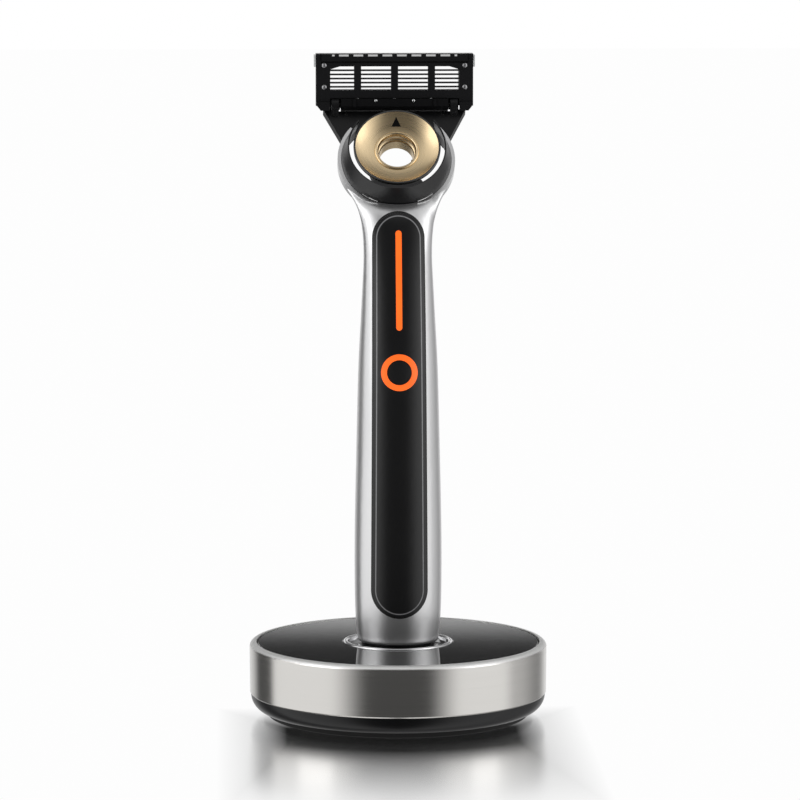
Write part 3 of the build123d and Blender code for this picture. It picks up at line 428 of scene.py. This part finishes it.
def make_edge_highlight_group():
    """A painted highlight: a thin line that follows the panel's outline at a distance inside its
    edge.
    """
    group, start, end = new_group(
        "panel_edge_highlight",
        [("Vector", "NodeSocketVector", None), ("Inset", "NodeSocketFloat", 0.0008),
         ("Width", "NodeSocketFloat", 0.00021)],
        [("Line", "NodeSocketFloat")],
    )
    place = split_vector(group, start.outputs["Vector"])
    above = math_node(group, "SUBTRACT", place["Z"], PANEL_LOW_Z)
    along = math_node(group, "DIVIDE", above, PANEL_HIGH_Z - PANEL_LOW_Z)
    clamped = math_node(group, "MINIMUM", math_node(group, "MAXIMUM", along, 0.0), 1.0)
    over = math_node(group, "MULTIPLY", math_node(group, "SUBTRACT", along, clamped),
                     PANEL_HIGH_Z - PANEL_LOW_Z)
    reach = length_of(group, place["X"], over)
    radius = math_node(group, "ADD",
                       math_node(group, "MULTIPLY", clamped, PANEL_HIGH_R - PANEL_LOW_R),
                       PANEL_LOW_R)
    inside = math_node(group, "SUBTRACT", radius, reach)
    off = math_node(group, "ABSOLUTE",
                    math_node(group, "SUBTRACT", inside, start.outputs["Inset"]))
    fall = math_node(group, "DIVIDE", off, start.outputs["Width"])
    highlight_line = math_node(group, "MAXIMUM", math_node(group, "SUBTRACT", 1.0, fall), 0.0)
    group.links.new(highlight_line, end.inputs["Line"])
    return group


GROUP_MAKERS = {
    "fine_grain": make_grain_group,
    "turned_brush": make_brush_group,
    "handling_marks": make_handling_group,
    "panel_edge_highlight": make_edge_highlight_group,
}


def highlighted_panel(name, color):
    """Black panel with a fine pale line painted just inside its edge, as the highlight of a step.
    """
    material = moulded(name, color, 0.3, grain=10000.0, bump=0.10)
    tree = material.node_tree
    shader = tree.nodes["Principled BSDF"]
    coords = tree.nodes.new("ShaderNodeTexCoord").outputs["Object"]
    highlight_line = place_group(tree, "panel_edge_highlight", coords).outputs["Line"]
    # paint the step's highlight as a pale line over the black
    lay_tint(tree, shader, highlight_line, PANEL_HIGHLIGHT_COLOR)
    return material


# Blacks that more than one piece has.
GLOSS_BLACK = (0.004, 0.004, 0.0045)
SATIN_BLACK = (0.006, 0.006, 0.0065)
MATT_BLACK = (0.005, 0.005, 0.0055)


def dress(material, *nodes):
    """Puts a material in every slot of these CAD nodes."""
    for node in nodes:
        mesh_object = frame["nodes"][node]
        for material_slot in mesh_object.material_slots:
            material_slot.material = material


# ---------------------------------------------------------------- operators: finishes
class RAZOR_OT_finish_dock(bpy.types.Operator):
    """Finishes the dock's outside and what it holds"""
    bl_idname = "razor.finish_dock"
    bl_label = "Finish the dock"

    def execute(self, context):
        finish = context.scene.razor_finish
        dress(moulded("foot_rubber", (0.006, 0.006, 0.006), 0.7, grain=3500.0, bump=0.3,
                      Specular_IOR_Level=0.25), "dock_foot_ring")
        dress(moulded("pan_plastic", GLOSS_BLACK, 0.3, grain=9000.0, bump=0.05,
                      Specular_IOR_Level=0.35), "dock_base_pan")
        dress(rimmed_band("brushed_band", tuple(finish.steel_color), finish.brush_pitch),
              "dock_steel_band")
        dress(polished_black("piano_top", GLOSS_BLACK, 0.02),
              "dock_top_cover", "dock_well_cup")
        dress(polished_metal("chrome_seat", (0.82, 0.82, 0.83), 0.06), "dock_seat_ring")
        dress(polished_metal("zinc_steel", (0.55, 0.56, 0.58), 0.34),
              "dock_ballast_plate", "dock_base_screws", "dock_seat_magnets", "docking_plate",
              "chassis_screws", "hub_magnets")
        dress(moulded("ferrite", (0.045, 0.045, 0.048), 0.55, grain=5000.0, bump=0.4),
              "dock_coil_core", "handle_coil_core")
        dress(turned_metal("copper_wire", (0.72, 0.33, 0.13), 0.3, pitch=0.0004, bump=0.3),
              "dock_charge_coil", "handle_charge_coil")
        dress(moulded("solder_mask", (0.012, 0.09, 0.04), 0.3, grain=1500.0, bump=0.1,
                      Coat_Weight=0.4),
              "dock_circuit_board", "control_board", "led_board")
        dress(moulded("chip_black", (0.02, 0.02, 0.02), 0.5, grain=6000.0, bump=0.2),
              "dock_board_chips", "board_components", "button_switch")
        dress(moulded("socket_plastic", (0.012, 0.012, 0.013), 0.4), "dock_power_socket")
        dress(polished_metal("plated_contact", (0.85, 0.62, 0.28), 0.25),
              "dock_socket_contacts", "battery_tabs")
        return {"FINISHED"}


class RAZOR_OT_finish_handle(bpy.types.Operator):
    """Finishes the handle's shell, front panel, lights and end cap"""
    bl_idname = "razor.finish_handle"
    bl_label = "Finish the handle"

    def execute(self, context):
        finish = context.scene.razor_finish
        dress(satin_silver("satin_silver", tuple(finish.silver_color)), "handle_shell")
        dress(highlighted_panel("panel_black", SATIN_BLACK), "front_panel")
        dress(moulded("gasket_black", (0.004, 0.004, 0.004), 0.45), "panel_gasket")
        light = tuple(finish.light_color)
        dress(lit_plastic("light_orange", light, finish.light_strength), "light_strip")
        dress(lit_plastic("ring_orange", scaled(light, 0.95), finish.light_strength),
              "button_light_ring")
        dress(moulded("button_black", SATIN_BLACK, 0.35), "power_button")
        dress(moulded("cap_black", (0.008, 0.008, 0.009), 0.3), "end_cap", "inner_chassis")
        dress(moulded("seal_rubber", (0.015, 0.015, 0.015), 0.7), "end_cap_seal")
        dress(moulded("cell_sleeve", (0.05, 0.16, 0.42), 0.3, grain=800.0, bump=0.05,
                      Coat_Weight=0.5), "battery_cell")
        dress(moulded("led_package", (0.85, 0.82, 0.7), 0.3), "indicator_leds")
        return {"FINISHED"}


class RAZOR_OT_finish_head(bpy.types.Operator):
    """Finishes the collar, the tilted disc, the yoke and the heater"""
    bl_idname = "razor.finish_head"
    bl_label = "Finish the head"

    def execute(self, context):
        finish = context.scene.razor_finish
        dress(moulded("collar_black", SATIN_BLACK, 0.3, grain=9000.0, bump=0.08),
              "neck_collar", "collar_bridge")
        dress(turned_metal("gold_disc", tuple(finish.gold_color), 0.27, finish.brush_pitch,
                           bump=0.45, tilt=math.pi / 2 - DISC_TILT, centre=DISC_CENTRE),
              "gold_dish")
        dress(polished_black("hub_black", (0.006, 0.006, 0.006), 0.12), "disc_hub")
        dress(moulded("mark_black", (0.002, 0.002, 0.002), 0.6, Specular_IOR_Level=0.1),
              "direction_mark")
        dress(moulded("yoke_black", MATT_BLACK, 0.42, Specular_IOR_Level=0.3), "rear_yoke")
        dress(moulded("carrier_black", MATT_BLACK, 0.6, Specular_IOR_Level=0.1),
              "heater_carrier")
        dress(polished_metal("trim_bright", (0.8, 0.8, 0.8), 0.15), "collar_trim", "yoke_rivets",
              "latch_pegs")
        # The pins are painted near black as shade, so that their ends show no highlight.
        dress(polished_metal("pin_steel_painted_shade", (0.03, 0.03, 0.03), 0.5), "pivot_pins")
        dress(polished_metal("warm_steel", (0.7, 0.69, 0.67), 0.2), "warming_bar")
        dress(moulded("heater_film", (0.45, 0.2, 0.03), 0.3), "heater_pad")
        return {"FINISHED"}


class RAZOR_OT_finish_cartridge(bpy.types.Operator):
    """Finishes the blade cartridge"""
    bl_idname = "razor.finish_cartridge"
    bl_label = "Finish the cartridge"

    def execute(self, context):
        dress(moulded("frame_black", (0.006, 0.006, 0.007), 0.3), "blade_frame", "trimmer_guard")
        blades = [name for name in frame["nodes"]
                  if name.startswith("blade_") and name[-1].isdigit()]
        # The blades are painted near black and dull, as the shade that they sit in.
        dress(moulded("blade_steel", (0.06, 0.06, 0.062), 0.6, grain=9000.0, bump=0.05,
                      Specular_IOR_Level=0.1), *blades)
        dress(polished_metal("trimmer_steel", (0.85, 0.85, 0.85), 0.3), "trimmer_blade")
        dress(polished_metal("clip_steel", (0.55, 0.56, 0.56), 0.25), "blade_clips")
        dress(moulded("strip_gel", (0.62, 0.78, 0.74), 0.35, grain=2500.0, bump=0.1),
              "lubricating_strip")
        dress(moulded("fin_rubber", (0.02, 0.03, 0.045), 0.55), "guard_fins")
        return {"FINISHED"}


# ---------------------------------------------------------------- operators: fittings
# Grey studs at the cartridge's ends, and bright ones on the heater carrier under it. The
# rises are above the pivot.
END_STUD_X, END_STUD_Y = 0.0194, 0.0234
END_STUD_RISES = ((0.0110, "high"), (0.0050, "low"))
END_STUD_R, END_STUD_H = 0.0007, 0.0004
CARRIER_STUD_X, CARRIER_STUD_Y, CARRIER_STUD_RISE = 0.0052, 0.0225, 0.0013
CARRIER_STUD_R, CARRIER_STUD_H = 0.00042, 0.00025


def finish_piece(piece, name, material, body):
    """Applies a new piece's transforms, gives it its finish and joins it to a body."""
    piece.name = name
    bpy.ops.object.transform_apply(location=True, rotation=True, scale=True)
    bpy.ops.object.shade_smooth_by_angle(angle=math.radians(40))
    piece.data.materials.append(material)
    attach(piece, body)


def add_stud(name, place, radius, height, material, body):
    """A low round stud on the side of the head that the camera sees."""
    bpy.ops.object.select_all(action="DESELECT")
    bpy.ops.mesh.primitive_uv_sphere_add(segments=24, ring_count=12, radius=radius, location=place)
    stud = bpy.context.object
    stud.scale = (1.0, height / radius, 1.0)
    finish_piece(stud, name, material, body)


class RAZOR_OT_add_fittings(bpy.types.Operator):
    """Adds the small studs of the cartridge and of the heater carrier"""
    bl_idname = "razor.add_fittings"
    bl_label = "Add the small fittings"

    def execute(self, context):
        grey = polished_metal("stud_grey", (0.42, 0.42, 0.43), 0.35)
        bright = polished_metal("stud_bright", (0.75, 0.76, 0.76), 0.25)
        for side, hand in ((-1, "left"), (1, "right")):
            for rise, level in END_STUD_RISES:
                add_stud(f"end_stud_{hand}_{level}",
                         (side * END_STUD_X, END_STUD_Y, PIVOT.z + rise),
                         END_STUD_R, END_STUD_H, grey, "cartridge")
            add_stud(f"carrier_stud_{hand}",
                     (side * CARRIER_STUD_X, CARRIER_STUD_Y, PIVOT.z + CARRIER_STUD_RISE),
                     CARRIER_STUD_R, CARRIER_STUD_H, bright, "heater")
        return {"FINISHED"}


# ---------------------------------------------------------------- operators: stage
# Each lamp's place and its width and height.
KEY_LAMP = ((-0.75, -0.30, 0.45), (0.5, 0.8))
FILL_LAMP = ((0.75, -0.30, 0.40), (0.4, 0.7))
TOP_LAMP = ((0.0, 0.15, 1.1), (0.9, 0.9))
CAMERA_SHIFT = 0.0025


def area_lamp(name, location, size, power, seen=True):
    """A soft rectangular lamp that faces the middle of the razor. Mirrors show it if seen."""
    low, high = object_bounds()
    bpy.ops.object.light_add(type="AREA", location=location)
    lamp = bpy.context.object
    lamp.name = name
    lamp.data.shape = "RECTANGLE"
    lamp.data.size, lamp.data.size_y = size
    lamp.data.energy = power
    lamp.visible_glossy = seen
    toward = (low + high) / 2 - Vector(location)
    lamp.rotation_euler = toward.to_track_quat("-Z", "Y").to_euler()
    return lamp


# Brightness of the studio by angle from the front, in degrees, positive to the right.
STUDIO_RING = [
    (-180, 0.42), (-150, 0.30), (-138, 0.08), (-121, 0.08), (-112, 1.0), (-58, 1.0), (-24, 0.08),
    (19, 0.08), (50, 1.0), (86, 1.0), (102, 0.6), (136, 0.3), (180, 0.42),
]


# Two bright cards stand behind the razor, in the part of the world where the sine of the
# bearing is in BACK_PART. Their heights are sines of elevation.
BACK_PART = (0.75, 0.9)
LOW_CARD_END, LOW_CARD_LEVELS = (0.1660, 0.1740), (2.2, 0.08)
# The upper card lights the floor's mirror.
HIGH_CARD_START, HIGH_CARD_END = (0.190, 0.196), (0.24, 0.30)
HIGH_CARD_LEVEL, ABOVE_CARDS_LEVEL = 2.3, 0.22
# The sky overhead begins here, and is brighter at the front than at the back.
SKY_START = (0.75, 0.97)
SKY_RANGE, SKY_LEVELS = (-0.35, 0.25), (0.8, 0.22)


def build_world():
    """White to the camera. To the object, a studio with bright sides and a dark front."""
    world = bpy.data.worlds.new("studio")
    bpy.context.scene.world = world
    world.use_nodes = True
    tree = world.node_tree
    background = tree.nodes["Background"]
    way = split_vector(tree, tree.nodes.new("ShaderNodeTexCoord").outputs["Generated"])
    angle = math_node(tree, "ARCTAN2", way["X"], math_node(tree, "MULTIPLY", way["Y"], -1.0))
    turn = math_node(tree, "ADD", math_node(tree, "DIVIDE", angle, 2 * math.pi), 0.5)
    ramp = tree.nodes.new("ShaderNodeValToRGB")
    ramp.color_ramp.interpolation = "EASE"
    stops = ramp.color_ramp.elements
    for index, (degrees, level) in enumerate(STUDIO_RING):
        place = degrees / 360 + 0.5
        stop = stops[index] if index < 2 else stops.new(place)
        stop.position = place
        stop.color = (level, level, level, 1.0)
    tree.links.new(turn, ramp.inputs[0])
    low_card = spread(tree, way["Z"], LOW_CARD_END, LOW_CARD_LEVELS)
    high_card = math_node(
        tree, "MINIMUM",
        spread(tree, way["Z"], HIGH_CARD_START, (0.0, HIGH_CARD_LEVEL)),
        spread(tree, way["Z"], HIGH_CARD_END, (HIGH_CARD_LEVEL, ABOVE_CARDS_LEVEL)))
    cards = mix_node(tree, spread(tree, way["Y"], BACK_PART, (0.0, 1.0)), 1.0,
                     math_node(tree, "MAXIMUM", low_card, high_card), data_type="FLOAT")
    ring = mix_node(tree, 1.0, ramp.outputs["Color"], cards, blend_type="MULTIPLY")
    sky = mix_node(tree, spread(tree, way["Z"], SKY_START, (0.0, 1.0)), ring,
                   spread(tree, way["Y"], SKY_RANGE, SKY_LEVELS))
    paths = tree.nodes.new("ShaderNodeLightPath")
    straight = math_node(tree, "MAXIMUM", paths.outputs["Is Camera Ray"],
                         paths.outputs["Is Transmission Ray"])
    tree.links.new(mix_node(tree, straight, sky, (1.0, 1.0, 1.0, 1.0)),
                   background.inputs["Color"])


FLOOR_FADE = (0.052, 0.14)     # the mirror turns to plain white over this distance
MIRROR_END = (-0.02, 0.01)     # and there is none behind the dock
MIRROR_SIDE = (0.031, 0.050)   # or to its sides
FLOOR_WHITE = (0.985, 0.985, 0.985, 1.0)


def floor_material():
    """White floor that mirrors the dock in front. Mirror rays from the object pass through it."""
    material, tree, shader, coords = new_material("pale_floor", (0.95, 0.95, 0.95), Metallic=1.0)
    vary_roughness(tree, shader, noise_node(tree, coords, 6.0), 0.17, 0.23)
    place = split_vector(tree, coords)
    white = tree.nodes.new("ShaderNodeEmission")
    white.inputs["Color"].default_value = FLOOR_WHITE
    across = math_node(tree, "ABSOLUTE", place["X"])
    aside = math_node(tree, "MAXIMUM", spread(tree, place["Y"], MIRROR_END, (0.0, 1.0)),
                      spread(tree, across, MIRROR_SIDE, (0.0, 1.0)))
    away = spread(tree, length_of(tree, place["X"], place["Y"]), FLOOR_FADE, (0.0, 1.0))
    fade = tree.nodes.new("ShaderNodeMixShader")
    tree.links.new(math_node(tree, "MAXIMUM", away, aside), fade.inputs["Fac"])
    tree.links.new(shader.outputs[0], fade.inputs[1])
    tree.links.new(white.outputs[0], fade.inputs[2])
    clear = tree.nodes.new("ShaderNodeBsdfTransparent")
    mix = tree.nodes.new("ShaderNodeMixShader")
    output = tree.nodes["Material Output"]
    paths = tree.nodes.new("ShaderNodeLightPath")
    tree.links.new(paths.outputs["Is Glossy Ray"], mix.inputs["Fac"])
    tree.links.new(fade.outputs[0], mix.inputs[1])
    tree.links.new(clear.outputs[0], mix.inputs[2])
    tree.links.new(mix.outputs[0], output.inputs["Surface"])
    return material


class RAZOR_OT_build_stage(bpy.types.Operator):
    """Makes the floor, the studio light and the camera"""
    bl_idname = "razor.build_stage"
    bl_label = "Build the stage"

    def execute(self, context):
        stage = context.scene.razor_stage
        bpy.ops.mesh.primitive_plane_add(size=8.0, location=(0, 0, 0))
        floor = context.object
        floor.name = "floor"
        floor.data.materials.append(floor_material())
        floor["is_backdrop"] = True
        build_world()
        area_lamp("key_left", *KEY_LAMP, stage.key_power)
        area_lamp("fill_right", *FILL_LAMP, stage.fill_power)
        area_lamp("top_soft", *TOP_LAMP, stage.top_power, seen=False)
        back = Vector((math.sin(stage.azimuth) * math.cos(stage.elevation),
                       -math.cos(stage.azimuth) * math.cos(stage.elevation),
                       math.sin(stage.elevation)))
        target = Vector((0, 0, stage.aim_height))
        bpy.ops.object.camera_add(location=target + back * stage.distance)
        camera = context.object
        camera.name = "camera"
        camera.rotation_euler = (-back).to_track_quat("-Z", "Y").to_euler()
        camera.data.lens = stage.lens
        camera.data.shift_x = CAMERA_SHIFT
        context.scene.camera = camera
        context.scene.view_settings.view_transform = "Standard"
        return {"FINISHED"}


class RAZOR_PT_panel(bpy.types.Panel):
    """Lists the razor's operators"""
    bl_idname = "RAZOR_PT_panel"
    bl_label = "Heated razor"
    bl_space_type = "VIEW_3D"
    bl_region_type = "UI"
    bl_category = "Razor"

    def draw(self, context):
        for operator in OPERATORS:
            self.layout.operator(operator.bl_idname)
        for settings in (context.scene.razor_finish, context.scene.razor_stage):
            for name in settings.__annotations__:
                self.layout.prop(settings, name)


OPERATORS = (
    RAZOR_OT_finish_dock,
    RAZOR_OT_finish_handle,
    RAZOR_OT_finish_head,
    RAZOR_OT_finish_cartridge,
    RAZOR_OT_add_fittings,
    RAZOR_OT_build_stage,
)
CLASSES = (RazorFinishSettings, RazorStageSettings, *OPERATORS, RAZOR_PT_panel)


def register():
    for cls in CLASSES:
        bpy.utils.register_class(cls)
    bpy.types.Scene.razor_finish = PointerProperty(type=RazorFinishSettings)
    bpy.types.Scene.razor_stage = PointerProperty(type=RazorStageSettings)


def unregister():
    del bpy.types.Scene.razor_stage
    del bpy.types.Scene.razor_finish
    for cls in reversed(CLASSES):
        bpy.utils.unregister_class(cls)


def main():
    """Makes everything."""
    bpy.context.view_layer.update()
    register()
    bpy.ops.object.select_all(action="DESELECT")
    for operator in OPERATORS:
        group, name = operator.bl_idname.split(".")
        getattr(getattr(bpy.ops, group), name)()


if __name__ == "__main__":
    main()
